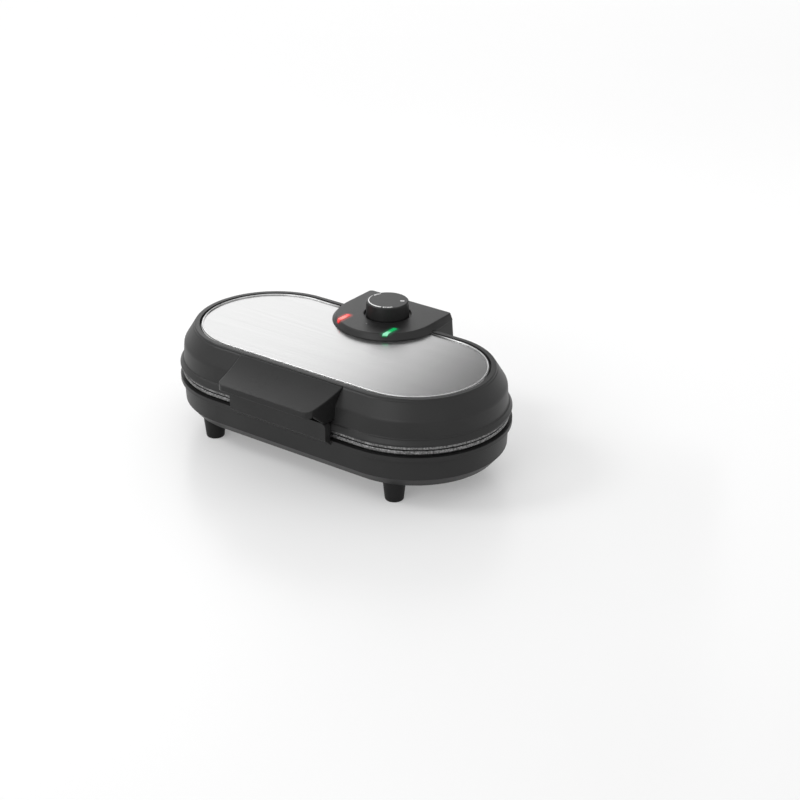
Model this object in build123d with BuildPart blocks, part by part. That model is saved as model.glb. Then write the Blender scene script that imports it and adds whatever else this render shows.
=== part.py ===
"""Electric pancake maker with two round baking cups, a hinged lid and a temperature knob.

Millimetres. +X runs along the machine, -Y is the front with the handle, +Z is up.
The origin is the middle of the footprint on the surface that the machine stands on.
"""

from build123d import *
from math import cos, sin, radians
import os

# Plan of the body: an oval of two half circles joined by straight runs
end_offset = 88.5
flange_radius = 93.4
flange_proud = 3.2
base_draft = 1.2
base_chamfer_in = 8.2
base_chamfer_rise = 9.7
flange_height = 4.5
shell_wall = 2.4
overlap = 1.0

# Heights, built up from the surface that the feet stand on
foot_height = 21.3
base_depth = 35.2
plate_rise = 5.7
seam_gap = 1.0
lid_edge_rise = 3.8
lid_height = 41.6

# Lid shell
bead_setback = 0.1
bead_flat = 2.2
bead_step_in = 2.3
bead_step_rise = 6.0
lid_wall_in = 3.7
lid_wall_rise = 6.8
crease_in = 4.8
crease_rise = 23.4
crease_rounding = 7.0
shoulder_in = 10.6
rim_edge = 1.0
rim_width = 5.4
groove_depth = 3.8
deck_ring = 10.0
crease_slant = 1.1
shoulder_slant = 1.2

# Brushed steel panel let into the lid
panel_sheet = 0.9
panel_gap = 1.2
panel_drop = 1.3
panel_skirt = 2.0
panel_edge = 1.2

# Cooking plates
plate_setback = 2.7
plate_edge = 3.6
plate_edge_rounding = 0.9
plate_skirt_in = 2.3
plate_skirt_wall = 2.5
plate_skirt_depth = 5.0
cup_radius = 71.0
cup_depth = 7.0
cup_draft = 12.0
cup_wall = 3.2
cup_rounding = 2.5
boss_radius = 4.5
boss_depth = 7.4

# Tubular heating elements and their heat shields
element_radius = 3.3
element_loop = 45.0
element_gap = 14.0
element_bend = 8.0
element_drop = 13.0
channel_wall = 2.5
channel_depth = 5.0
channel_gap = 0.3
shield_sheet = 0.6
shield_in = 5.5
shield_rim = 8.0
element_hole_gap = 2.0
thermostat_room = 4.0

# Screws that hold each plate in its shell
inner_post_x = 26.0
inner_post_y = 60.0
outer_post_offset = 60.0
post_radius = 6.0
post_head_bore = 4.4
post_seat = 4.0
screw_radius = 1.9
screw_head_radius = 3.8
screw_head_height = 2.5
screw_bite = 8.5
thread_gap = 0.1
clearance_hole = 2.3
hole_depth_spare = 0.5

# Feet
foot_x = 112.0
foot_y = 65.2
foot_top_radius = 11.3
foot_low_radius = 9.0
foot_rounding = 1.6
foot_bore = 4.6
foot_web = 6.0
foot_boss_height = 14.0
foot_boss_radius = 5.0

# Front apron of the base, under the handle
apron_half_width = 58.7
apron_proud = 8.1
apron_rise = 19.9
apron_low_rise = 2.5
apron_floor_rise = 3.0
apron_wall = 2.4
apron_rounding = 5.0
apron_gap = 0.9
apron_setback = 0.5

# Handle
handle_half_width = 62.2
handle_lip_half_width = 55.4
handle_length = 29.6
handle_corner = 7.5
handle_wall = 2.6
handle_sag = 1.8
handle_lip_drop = 13.8
handle_lip_height = 6.2
handle_boss_length = 5.0
handle_back_in = 0.1
handle_screw_x = 38.0
handle_screw_rise = 15.5

# Control housing, knob and thermostat
housing_height = 6.4
housing_top_half = 50.8
housing_foot_half = 57.4
housing_foot_front = 54.2
tail_reach = 10.6
knob_setback = 29.1
housing_wall = 2.4
housing_edge = 1.0
housing_corner = 4.0
housing_opening = 48.0
tail_half_width = 53.3
tail_low_half_width = 58.0
cheek = 3.0
housing_screw_angle = 30.0
housing_screw_circle = 42.0
tail_screw_x = 30.0
tail_screw_rise = 16.0
wall_lean = 1.1
knob_top_radius = 21.2
knob_low_radius = 21.8
knob_recess_radius = 24.0
knob_recess_depth = 2.5
knob_recess_wall = 2.2
knob_height = 16.4
knob_wall = 2.0
knob_edge = 0.8
knob_lift = 0.4
hub_radius = 5.5
spindle_radius = 3.0
spindle_flat = 1.9
spindle_roof = 1.2
spindle_end_gap = 0.3
spindle_round_stop = 2.0
spindle_flat_lead = 2.5
running_gap = 0.05
spindle_hole = 5.0
thermostat_size = 24.0
thermostat_depth = 20.0
thermostat_height = 12.0
thermostat_lift = 9.0
thermostat_corner = 1.5
thermostat_bush_radius = 5.0
thermostat_bush_height = 6.0
bracket_sheet = 1.2
bracket_foot = 9.0
bracket_setback = 2.0
bracket_depth = 14.0

# Indicator lenses and lamps
lens_x = 29.0
lens_width = 4.2
lens_inner_y = 48.0
lens_proud = 0.3
lens_thickness = 2.2
lens_wrap = 3.0
lens_neck = 0.5
lens_socket_radius = 3.6
lens_socket_y = 45.4
lens_socket_depth = 8.0
lamp_radius = 2.5
lamp_length = 7.0
lamp_collar = 1.5

# Hinge
hinge_standoff = 9.5
hinge_pin_radius = 2.5
pin_reach = 2.5
barrel_radius = 7.7
barrel_gap = 0.5
hinge_web = 6.0
hinge_web_front = 2.0
hinge_web_rise = 0.6

# Cord inlet at the back of the base
inlet_x = 70.0
inlet_rise = 17.0
inlet_bore = 3.5
inlet_neck_radius = 5.6
inlet_flange_radius = 7.6
inlet_flange = 2.0
inlet_length = 9.0
terminal_length = 28.0
terminal_depth = 14.0
terminal_height = 11.0
terminal_hole = 1.8
terminal_pitch = 8.5

# Gaps between pieces that are assembled
fit_gap = 0.2
slot_width = 3.2
slot_length = 44.0
slot_pitch = 9.0
slot_count = 5
fuse_radius = 2.2
fuse_length = 26.0

# Heights and places that follow from the sizes above
base_top_radius = flange_radius - flange_proud
base_low_radius = base_top_radius - base_draft
base_floor_radius = base_low_radius - base_chamfer_in
base_inner_top = base_top_radius - shell_wall
plate_skirt_radius = base_inner_top - plate_skirt_in
shield_radius = plate_skirt_radius - shield_in
apron_reach = flange_radius + apron_proud
handle_reach = flange_radius + handle_length
hinge_y = flange_radius + hinge_standoff
housing_rear = hinge_y + tail_reach
knob_y = hinge_y - knob_setback
body_y = (handle_reach - housing_rear) / 2
bead_radius = flange_radius - bead_setback
handle_back = bead_radius - handle_back_in
bead_step_radius = bead_radius - bead_step_in
lid_wall_radius = bead_radius - lid_wall_in
crease_radius = bead_radius - crease_in
rim_outer_radius = crease_radius - shoulder_in
plate_radius = flange_radius - plate_setback
flange_top = foot_height + base_depth
plate_top = flange_top + plate_rise
seam_z = plate_top + seam_gap / 2
upper_plate_face = plate_top + seam_gap
lid_edge_z = upper_plate_face + lid_edge_rise
rim_top = lid_edge_z + lid_height
panel_top = rim_top - panel_drop
deck_top = panel_top - panel_sheet
housing_top = panel_top + housing_height
knob_base = housing_top - knob_recess_depth + knob_lift
cup_floor = plate_top - cup_depth
cup_under = cup_floor - cup_wall
boss_end = cup_under - boss_depth
post_end = boss_end - shield_sheet
element_z = cup_under - element_radius
cord_z = foot_height + inlet_rise
lid_post_end = 2 * seam_z - post_end
plate_posts = [(x, y) for x in (-inner_post_x, inner_post_x) for y in (-inner_post_y, inner_post_y)]
plate_posts += [(side * (end_offset + outer_post_offset), 0) for side in (-1, 1)]
feet = {
    "front_left": (-foot_x, -foot_y),
    "front_right": (foot_x, -foot_y),
    "rear_left": (-foot_x, foot_y),
    "rear_right": (foot_x, foot_y),
}
middle = Axis((0, body_y, 0), (0, 0, 1))
right_end = Axis((end_offset, body_y, 0), (0, 0, 1))
section_plane = Plane((end_offset, body_y, 0), x_dir=(0, -1, 0), z_dir=(-1, 0, 0))

os.makedirs("parts", exist_ok=True)


def level(height):
    """A flat work plane at a height, centred on the body."""
    return Plane((0, body_y, height))


def upright(x=0.0):
    """A work plane across the machine: local x runs to the back, local y is height."""
    return Plane((x, body_y, 0), x_dir=(0, 1, 0), z_dir=(1, 0, 0))


def facing_back(y):
    """A work plane that faces the back: local x runs to the left, local y is height."""
    return Plane((0, body_y + y, 0), x_dir=(-1, 0, 0), z_dir=(0, 1, 0))


def carry_round(section, mode=Mode.ADD):
    """Carries a section, drawn as distance from the middle line and height, round the oval."""
    placed = section_plane * section
    run = extrude(placed, amount=2 * end_offset, mode=Mode.PRIVATE)
    turn = revolve(placed, axis=right_end, revolution_arc=180, mode=Mode.PRIVATE)
    half = run + turn
    add([half, half.rotate(middle, 180)], mode=mode)


def oval(radius):
    """The oval plan at a radius, in the current sketch."""
    return SlotCenterToCenter(2 * end_offset, 2 * radius)


def outline(points):
    """A closed section through the given corners."""
    with BuildSketch() as section:
        with BuildLine():
            Polyline(*points, close=True)
        make_face()
    return section.sketch


lid_roundings = [0.8, 1.0, 0.6, 1.2, crease_rounding, 0.5, 0.4, 0.3]


def lid_outside():
    """Outside line of the lid, from the lower edge of the bead up to the rim's inner edge."""
    return [
        (bead_radius, lid_edge_z),
        (bead_radius, lid_edge_z + bead_flat),
        (bead_step_radius, lid_edge_z + bead_step_rise),
        (lid_wall_radius, lid_edge_z + lid_wall_rise),
        (crease_radius, lid_edge_z + crease_rise),
        (rim_outer_radius, rim_top - rim_edge),
        (rim_outer_radius - rim_edge, rim_top),
        (rim_outer_radius - rim_width, rim_top),
    ]


def lid_block(inner_radius, gap):
    """The space that the lid's ring takes, grown by a gap, for pieces that are seated on it."""
    rim_inner = rim_outer_radius - rim_width
    with BuildSketch() as section:
        with BuildLine():
            FilletPolyline(
                (inner_radius, lid_edge_z),
                *lid_outside(),
                (rim_inner, panel_top - gap),
                (inner_radius, panel_top - gap),
                radius=lid_roundings + [0.1],
            )
            Line((inner_radius, panel_top - gap), (inner_radius, lid_edge_z))
        make_face()
        offset(amount=gap)
    return section.sketch


def housing_plan(half_width, front, rear_half_width, inset=0.0):
    """The tombstone plan of the control housing, drawn in by an inset."""
    left = (-half_width + inset, knob_y)
    right = (half_width - inset, knob_y)
    rear_right = (rear_half_width - inset, housing_rear - inset)
    rear_left = (-rear_half_width + inset, housing_rear - inset)
    with BuildSketch() as plan:
        with BuildLine():
            ThreePointArc(left, (0, knob_y - front + inset), right)
            Polyline(right, rear_right, rear_left, left)
        make_face()
        fillet(plan.vertices().group_by(Axis.Y)[-1], housing_corner)
    return plan.sketch


def housing_body(inset, top, rounding=0.0):
    """The housing's form, drawn in by an inset, closed at a height and with its top edge rounded."""
    with BuildPart() as body:
        with BuildSketch(level(panel_top)):
            add(housing_plan(housing_foot_half, housing_foot_front, tail_half_width, inset))
        with BuildSketch(level(top)):
            add(housing_plan(housing_top_half, housing_top_half, housing_top_half, inset))
        loft(ruled=True)
        if rounding:
            fillet(body.faces().sort_by(Axis.Z)[-1].edges(), rounding)
    return body.part


def shoulder_radius(height):
    """Outside radius of the lid's sloping shoulder at a height."""
    crease_z = lid_edge_z + crease_rise
    share = (height - crease_z) / (rim_top - rim_edge - crease_z)
    return crease_radius + share * (rim_outer_radius - crease_radius)


def finish(builder, name):
    """Labels a finished piece and writes it under its own name."""
    builder.part.label = name
    export_step(builder.part, f"parts/{name}.step")


# Apron: a hollow front wall that rises from the flange behind the handle's lip
apron_top = flange_top + apron_rise
apron_back = bead_radius + apron_setback
pocket_depth = apron_reach - apron_wall - apron_back
with BuildPart() as apron:
    with BuildSketch(upright()):
        with BuildLine():
            Polyline(
                (-flange_radius + overlap, flange_top - flange_height),
                (-flange_radius, flange_top - flange_height),
                (-apron_reach, flange_top + apron_low_rise),
                (-apron_reach, apron_top),
                (-apron_back, apron_top),
                (-apron_back, flange_top),
                (-flange_radius + overlap, flange_top),
                close=True,
            )
        make_face()
    extrude(amount=apron_half_width, both=True)
    fillet(apron.edges().filter_by(Axis.Y).group_by(Axis.Z)[-1], apron_rounding)
    with BuildSketch(level(flange_top + apron_floor_rise)):
        with Locations((0, -apron_back - pocket_depth / 2 + overlap / 2)):
            Rectangle(2 * (apron_half_width - apron_wall), pocket_depth + overlap)
    extrude(amount=apron_rise - apron_floor_rise - apron_wall, mode=Mode.SUBTRACT)

# Base shell: a moulded bowl with a flange, an apron at the front and a hinge barrel at the back
with BuildPart() as base_shell:
    with BuildSketch(level(foot_height)):
        oval(base_floor_radius)
    extrude(amount=shell_wall)
    wall_section = outline([
        (base_floor_radius, foot_height),
        (base_low_radius, foot_height + base_chamfer_rise),
        (base_top_radius, flange_top - flange_height),
        (flange_radius, flange_top - flange_height),
        (flange_radius, flange_top),
        (base_inner_top, flange_top),
        (base_low_radius - shell_wall, foot_height + base_chamfer_rise + shell_wall / 2),
        (base_floor_radius - shell_wall / 2, foot_height + shell_wall),
        (base_floor_radius - 2 * shell_wall, foot_height + shell_wall),
        (base_floor_radius - 2 * shell_wall, foot_height),
    ])
    carry_round(wall_section)
    add(apron.part)

    # Hinge barrel on a web behind the flange
    with BuildSketch(upright()):
        with Locations((hinge_y, seam_z)):
            Circle(barrel_radius)
        with BuildLine():
            Polyline(
                (base_inner_top + overlap, flange_top - flange_height - hinge_web),
                (base_inner_top + overlap, flange_top),
                (hinge_y - barrel_radius + overlap, seam_z),
                (hinge_y - hinge_web_front, seam_z - barrel_radius + hinge_web_rise),
                close=True,
            )
        make_face()
    barrel_half = tail_half_width - cheek - barrel_gap
    extrude(amount=barrel_half, both=True)
    with BuildSketch(upright()):
        with Locations((hinge_y, seam_z)):
            Circle(hinge_pin_radius + running_gap)
    extrude(amount=barrel_half, both=True, mode=Mode.SUBTRACT)

    # Posts for the plate screws, and bosses for the foot screws
    with BuildSketch(level(foot_height + shell_wall)):
        with Locations(*plate_posts):
            Circle(post_radius)
    extrude(amount=post_end - foot_height - shell_wall)
    with BuildSketch(level(foot_height)):
        with Locations(*plate_posts):
            Circle(post_head_bore)
    extrude(amount=post_end - post_seat - foot_height, mode=Mode.SUBTRACT)
    with BuildSketch(level(post_end)):
        with Locations(*plate_posts):
            Circle(clearance_hole)
    extrude(amount=-post_seat, mode=Mode.SUBTRACT)
    with BuildSketch(level(foot_height + shell_wall)):
        with Locations(*feet.values()):
            Circle(foot_boss_radius)
    extrude(amount=foot_boss_height)
    with BuildSketch(level(foot_height)):
        with Locations(*feet.values()):
            Circle(screw_radius + thread_gap)
    extrude(amount=shell_wall + foot_boss_height - overlap, mode=Mode.SUBTRACT)

    # Ventilation slots under each cup
    with BuildSketch(level(foot_height)):
        with Locations((-end_offset, 0), (end_offset, 0)):
            with GridLocations(0, slot_pitch, 1, slot_count):
                SlotOverall(slot_length, slot_width)
    extrude(amount=shell_wall, mode=Mode.SUBTRACT)

    # Cord inlet hole in the rear wall
    with BuildSketch(facing_back(base_low_radius - 2 * shell_wall)):
        with Locations((-inlet_x, cord_z)):
            Circle(inlet_neck_radius)
    extrude(amount=4 * shell_wall, mode=Mode.SUBTRACT)
finish(base_shell, "base_shell")

# Feet: tapered pegs, each hollow underneath for its screw
for place, (x, y) in feet.items():
    foot_plane = Plane((x, body_y + y, 0), x_dir=(1, 0, 0), z_dir=(0, -1, 0))
    with BuildPart() as foot:
        with BuildSketch(foot_plane):
            with BuildLine():
                FilletPolyline(
                    (foot_bore, 0),
                    (foot_low_radius, 0),
                    (foot_top_radius, foot_height),
                    radius=foot_rounding,
                )
                Polyline(
                    (foot_top_radius, foot_height),
                    (clearance_hole, foot_height),
                    (clearance_hole, foot_height - foot_web),
                    (foot_bore, foot_height - foot_web),
                    (foot_bore, 0),
                )
            make_face()
        revolve(axis=Axis((x, body_y + y, 0), (0, 0, 1)))
    finish(foot, f"foot_{place}")


# Lower cooking plate: a casting with two round cups, a skirt, screw bosses and a heater channel
plate_under = plate_top - plate_edge
with BuildPart() as lower_cooking_plate:
    with BuildSketch(level(plate_under)):
        oval(plate_radius)
    extrude(amount=plate_edge)
    rims = lower_cooking_plate.faces().filter_by(Axis.Z).edges()
    fillet(rims, plate_edge_rounding)
    with BuildSketch(level(cup_under)):
        with Locations((-end_offset, 0), (end_offset, 0)):
            Circle(cup_radius + cup_wall)
    extrude(amount=plate_under - cup_under)
    with BuildSketch(level(plate_under)):
        oval(plate_skirt_radius)
        SlotCenterToCenter(2 * end_offset, 2 * (plate_skirt_radius - plate_skirt_wall), mode=Mode.SUBTRACT)
    extrude(amount=-plate_skirt_depth)
    with BuildSketch(level(cup_under - channel_depth)):
        for side in (-1, 1):
            near = element_loop + side * (element_radius + channel_gap)
            far = near + side * channel_wall
            SlotCenterToCenter(2 * end_offset, 2 * max(near, far), mode=Mode.ADD)
            SlotCenterToCenter(2 * end_offset, 2 * min(near, far), mode=Mode.SUBTRACT)
    extrude(amount=plate_under - cup_under + channel_depth)
    with BuildSketch(level(boss_end)):
        with Locations(*plate_posts):
            Circle(boss_radius)
    extrude(amount=plate_under - boss_end)
    with BuildSketch(level(plate_top)):
        with Locations((-end_offset, 0), (end_offset, 0)):
            Circle(cup_radius)
    extrude(amount=-cup_depth, taper=cup_draft, mode=Mode.SUBTRACT)
    circles = lower_cooking_plate.edges().filter_by(GeomType.CIRCLE)
    fillet(circles.filter_by_position(Axis.Z, cup_floor - 0.1, cup_floor + 0.1), cup_rounding)
    lips = lower_cooking_plate.edges().filter_by(GeomType.CIRCLE)
    lips = lips.filter_by_position(Axis.Z, plate_top - 0.1, plate_top + 0.1)
    fillet(lips.filter_by(lambda edge: abs(edge.radius - cup_radius) < 0.5), plate_edge_rounding)
    with BuildSketch(level(boss_end)):
        with Locations(*plate_posts):
            Circle(screw_radius + thread_gap)
    extrude(amount=screw_bite + hole_depth_spare, mode=Mode.SUBTRACT)
finish(lower_cooking_plate, "lower_cooking_plate")

with BuildPart() as upper_cooking_plate:
    mirror(lower_cooking_plate.part, about=level(seam_z))
finish(upper_cooking_plate, "upper_cooking_plate")

# Heating elements: a sheathed tube bent round both cups, its ends turned away from the plate
with BuildPart() as lower_element:
    with BuildLine(level(0)) as element_route:
        loop_end = end_offset + element_loop
        FilletPolyline(
            (-element_gap, element_loop, element_z - element_drop),
            (-element_gap, element_loop, element_z),
            (-loop_end, element_loop, element_z),
            (-loop_end, -element_loop, element_z),
            (loop_end, -element_loop, element_z),
            (loop_end, element_loop, element_z),
            (element_gap, element_loop, element_z),
            (element_gap, element_loop, element_z - element_drop),
            radius=[element_bend] + 4 * [element_loop - 0.1] + [element_bend],
        )
    with BuildSketch(Plane(element_route.line @ 0, z_dir=element_route.line % 0)):
        Circle(element_radius)
    sweep(path=element_route.line)
finish(lower_element, "lower_heating_element")

with BuildPart() as upper_element:
    mirror(lower_element.part, about=level(seam_z))
finish(upper_element, "upper_heating_element")


def heat_shield():
    """The sheet pan under the lower element, clamped between the posts and the plate's bosses."""
    with BuildPart() as shield:
        with BuildSketch(level(post_end)):
            oval(shield_radius)
        extrude(amount=shield_rim)
        with BuildSketch(level(post_end + shield_sheet)):
            oval(shield_radius - shield_sheet)
        extrude(amount=shield_rim, mode=Mode.SUBTRACT)
        with BuildSketch(level(post_end)):
            with Locations(*plate_posts):
                Circle(clearance_hole)
            with Locations((-element_gap, element_loop), (element_gap, element_loop)):
                Circle(element_radius + element_hole_gap)
        extrude(amount=shield_sheet, mode=Mode.SUBTRACT)
    return shield.part


with BuildPart() as lower_shield:
    add(heat_shield())
finish(lower_shield, "lower_heat_shield")

with BuildPart() as upper_shield:
    mirror(heat_shield(), about=level(seam_z))
    with BuildSketch(level(upper_plate_face)):
        with Locations((0, shield_radius)):
            Rectangle(
                thermostat_size + 2 * thermostat_room,
                2 * (shield_radius - knob_y + thermostat_depth / 2 + thermostat_room),
            )
    extrude(amount=lid_height, mode=Mode.SUBTRACT)
finish(upper_shield, "upper_heat_shield")

# Lid shell: wall, shoulder and rim in one section, a deck under the steel panel, and posts
rim_inner = rim_outer_radius - rim_width
panel_radius = rim_inner - panel_gap
groove_inner = panel_radius - panel_sheet - fit_gap
groove_floor = rim_top - groove_depth
deck_under = deck_top - shell_wall
inner_low = groove_floor - shell_wall
with BuildSketch() as lid_section:
    with BuildLine():
        FilletPolyline(
            (lid_wall_radius - shell_wall, lid_edge_z),
            *lid_outside(),
            (rim_inner, groove_floor),
            (groove_inner, groove_floor),
            radius=lid_roundings + [0.3],
        )
        Polyline(
            (groove_inner, groove_floor),
            (groove_inner, deck_top),
            (groove_inner - deck_ring, deck_top),
            (groove_inner - deck_ring, deck_under),
            (groove_inner - shell_wall, deck_under),
            (groove_inner, inner_low),
            (shoulder_radius(inner_low) - shoulder_slant * shell_wall, inner_low),
            (crease_radius - crease_slant * shell_wall, lid_edge_z + crease_rise),
            (lid_wall_radius - shell_wall, lid_edge_z + lid_wall_rise),
            (lid_wall_radius - shell_wall, lid_edge_z),
        )
    make_face()

with BuildPart() as lid_shell:
    carry_round(lid_section.sketch)
    with BuildSketch(level(deck_under)):
        oval(groove_inner - deck_ring + overlap / 2)
    extrude(amount=shell_wall)
    with BuildSketch(level(lid_post_end)):
        with Locations(*plate_posts):
            Circle(post_radius)
    extrude(amount=deck_under - lid_post_end)
    with BuildSketch(level(lid_post_end + post_seat)):
        with Locations(*plate_posts):
            Circle(post_head_bore)
    extrude(amount=deck_top - lid_post_end - post_seat, mode=Mode.SUBTRACT)
    with BuildSketch(level(lid_post_end)):
        with Locations(*plate_posts):
            Circle(clearance_hole)
    extrude(amount=post_seat, mode=Mode.SUBTRACT)

    # Holes for the handle screws, the housing, its lenses and the thermostat spindle
    handle_screw_z = lid_edge_z + handle_screw_rise
    with BuildSketch(facing_back(-lid_wall_radius - 2 * overlap)):
        with Locations((-handle_screw_x, handle_screw_z), (handle_screw_x, handle_screw_z)):
            Circle(clearance_hole)
    extrude(amount=shell_wall + 4 * overlap, mode=Mode.SUBTRACT)
    tail_screw_z = lid_edge_z + tail_screw_rise
    with BuildSketch(facing_back(lid_wall_radius - shell_wall - 2 * overlap)):
        with Locations((-tail_screw_x, tail_screw_z), (tail_screw_x, tail_screw_z)):
            Circle(clearance_hole)
    extrude(amount=shell_wall + 4 * overlap, mode=Mode.SUBTRACT)
    housing_screws = [
        (side * housing_screw_circle * cos(radians(housing_screw_angle)),
         knob_y - housing_screw_circle * sin(radians(housing_screw_angle)))
        for side in (-1, 1)
    ]
    lens_sockets = [(-lens_x, lens_socket_y), (lens_x, lens_socket_y)]
    with BuildSketch(level(deck_under - shell_wall)):
        with Locations(*housing_screws):
            Circle(clearance_hole)
        with Locations(*lens_sockets):
            Circle(lens_socket_radius + fit_gap)
        with Locations((0, knob_y)):
            Circle(spindle_hole)
    extrude(amount=rim_top - deck_under + 2 * shell_wall, mode=Mode.SUBTRACT)
finish(lid_shell, "lid_shell")

# Steel panel: a shallow pressed cover whose rolled edge sits in the groove inside the rim
with BuildPart() as steel_panel:
    with BuildSketch(level(deck_top - panel_skirt + panel_sheet)):
        oval(panel_radius)
    extrude(amount=panel_skirt)
    fillet(steel_panel.faces().sort_by(Axis.Z)[-1].edges(), panel_edge)
    with BuildSketch(level(deck_top - panel_skirt)):
        oval(panel_radius - panel_sheet)
    extrude(amount=panel_skirt, mode=Mode.SUBTRACT)
    with BuildSketch(level(deck_top - panel_skirt)):
        with Locations((0, knob_y)):
            Circle(housing_opening)
    extrude(amount=2 * panel_skirt, mode=Mode.SUBTRACT)
finish(steel_panel, "steel_panel")

# Handle: a scoop screwed to the front of the lid, hollow underneath for the fingers
lip_top_z = rim_top - handle_lip_drop
lip_low_z = lip_top_z - handle_lip_height
handle_top_y = -(rim_outer_radius - rim_edge / 2)
handle_low_z = flange_top + apron_rise + apron_gap


def handle_prism(inset):
    """The handle's plan, drawn in by an inset, through the whole height of the lid."""
    with BuildPart() as prism:
        with BuildSketch(level(lid_edge_z)) as plan:
            with BuildLine():
                Polyline(
                    (-handle_half_width + inset, handle_top_y),
                    (-handle_lip_half_width + inset, -handle_reach + inset),
                    (handle_lip_half_width - inset, -handle_reach + inset),
                    (handle_half_width - inset, handle_top_y),
                    close=True,
                )
            make_face()
            fillet(plan.vertices().group_by(Axis.Y)[0], handle_corner - inset)
        extrude(amount=lid_height)
    return prism.part


def handle_top(drop):
    """The scooped top line of the handle, lowered by a drop: rear, middle and front points."""
    rear = (handle_top_y, rim_top - rim_edge / 2 - drop)
    front = (-handle_reach, lip_top_z - drop)
    mid = ((rear[0] + front[0]) / 2, (rear[1] + front[1]) / 2 - handle_sag)
    return rear, mid, front


with BuildPart() as handle_hollow:
    add(handle_prism(handle_wall))
    with BuildSketch(upright()):
        with BuildLine():
            rear, mid, front = handle_top(handle_wall)
            ThreePointArc(rear, mid, front)
            Polyline(front, (front[0], lid_edge_z), (rear[0], lid_edge_z), rear)
        make_face()
    extrude(amount=handle_half_width, both=True, mode=Mode.INTERSECT)
    split(bisect_by=Plane((0, body_y - handle_back, 0), z_dir=(0, -1, 0)), keep=Keep.TOP)

with BuildPart() as handle:
    add(handle_prism(0))
    with BuildSketch(upright()):
        with BuildLine():
            rear, mid, front = handle_top(0)
            ThreePointArc(rear, mid, front)
            Polyline(
                front,
                (-handle_reach, lip_low_z),
                (-handle_reach + handle_corner, lip_low_z),
                (-apron_reach - apron_gap, handle_low_z),
                (handle_top_y, handle_low_z),
                rear,
            )
        make_face()
    extrude(amount=handle_half_width, both=True, mode=Mode.INTERSECT)
    add(handle_hollow.part, mode=Mode.SUBTRACT)
    with BuildSketch(facing_back(-handle_back - handle_boss_length)):
        with Locations((-handle_screw_x, handle_screw_z), (handle_screw_x, handle_screw_z)):
            Circle(boss_radius)
    extrude(amount=handle_boss_length)
    carry_round(lid_block(end_offset / 2, fit_gap), mode=Mode.SUBTRACT)
    with BuildSketch(facing_back(-handle_back - handle_boss_length + overlap)):
        with Locations((-handle_screw_x, handle_screw_z), (handle_screw_x, handle_screw_z)):
            Circle(screw_radius + thread_gap)
    extrude(amount=handle_boss_length + shell_wall * 2, mode=Mode.SUBTRACT)
finish(handle, "handle")

# Control housing: a tombstone cover with a tail that carries the lid's two hinge cheeks
pocket_half = tail_half_width - cheek
with BuildPart() as tail:
    for height, half in ((seam_z - tail_reach, tail_low_half_width), (panel_top, tail_half_width)):
        with BuildSketch(level(height)) as tail_plan:
            with Locations((0, housing_rear / 2)):
                Rectangle(2 * half, housing_rear)
            fillet(tail_plan.vertices().group_by(Axis.Y)[-1], housing_corner)
    loft(ruled=True)
    with BuildSketch(upright()):
        with BuildLine():
            Polyline(
                (hinge_y - tail_reach, seam_z),
                (hinge_y - tail_reach, lid_edge_z + bead_step_rise),
                (knob_y, lid_edge_z + bead_step_rise),
                (knob_y, panel_top),
                (housing_rear, panel_top),
                (housing_rear, seam_z),
            )
            CenterArc((hinge_y, seam_z), tail_reach, 180, 180)
        make_face()
    extrude(amount=tail_low_half_width, both=True, mode=Mode.INTERSECT)

with BuildPart() as control_housing:
    add(housing_body(0, housing_top, housing_edge))
    add(tail.part)
    add(housing_body(housing_wall, housing_top - housing_wall), mode=Mode.SUBTRACT)
    with BuildSketch(level(seam_z)):
        with Locations((0, (housing_rear - housing_wall) / 2)):
            Rectangle(2 * pocket_half, housing_rear - housing_wall)
    extrude(amount=panel_top - seam_z + overlap / 10, mode=Mode.SUBTRACT)
    with BuildSketch(level(seam_z)):
        with Locations((0, hinge_y)):
            Rectangle(2 * pocket_half, 4 * tail_reach)
    extrude(amount=-2 * tail_reach, mode=Mode.SUBTRACT)
    with BuildSketch(facing_back(knob_y)):
        with Locations((-tail_screw_x, tail_screw_z), (tail_screw_x, tail_screw_z)):
            Circle(boss_radius)
    extrude(amount=housing_rear - housing_wall / 2 - knob_y)
    carry_round(lid_block(end_offset / 2, fit_gap), mode=Mode.SUBTRACT)
    with BuildSketch(level(deck_top)):
        with Locations(*housing_screws):
            Circle(boss_radius)
    extrude(amount=housing_top - housing_wall / 2 - deck_top)
    with BuildSketch(level(deck_top)):
        with Locations(*housing_screws):
            Circle(screw_radius + thread_gap)
    extrude(amount=housing_height - housing_wall, mode=Mode.SUBTRACT)
    with BuildSketch(facing_back(lid_wall_radius - shell_wall)):
        with Locations((-tail_screw_x, tail_screw_z), (tail_screw_x, tail_screw_z)):
            Circle(screw_radius + thread_gap)
    extrude(amount=shell_wall + screw_bite + overlap, mode=Mode.SUBTRACT)
    with BuildSketch(level(housing_top - knob_recess_depth - knob_recess_wall)):
        with Locations((0, knob_y)):
            Circle(knob_recess_radius + knob_recess_wall)
    extrude(amount=knob_recess_depth)
    with BuildSketch(level(housing_top)):
        with Locations((0, knob_y)):
            Circle(knob_recess_radius)
    extrude(amount=-knob_recess_depth, mode=Mode.SUBTRACT)
    with BuildSketch(level(housing_top)):
        with Locations((0, knob_y)):
            Circle(spindle_hole)
    extrude(amount=-housing_height, mode=Mode.SUBTRACT)
    with BuildSketch(level(housing_top)):
        with Locations((-lens_x, 0), (lens_x, 0)):
            Rectangle(lens_width + fit_gap, 2 * lens_inner_y + fit_gap)
    extrude(amount=-lens_wrap, mode=Mode.SUBTRACT)
    with BuildSketch(upright()):
        with Locations((hinge_y, seam_z)):
            Circle(hinge_pin_radius + running_gap)
    extrude(amount=tail_low_half_width, both=True, mode=Mode.SUBTRACT)
finish(control_housing, "control_housing")

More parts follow.
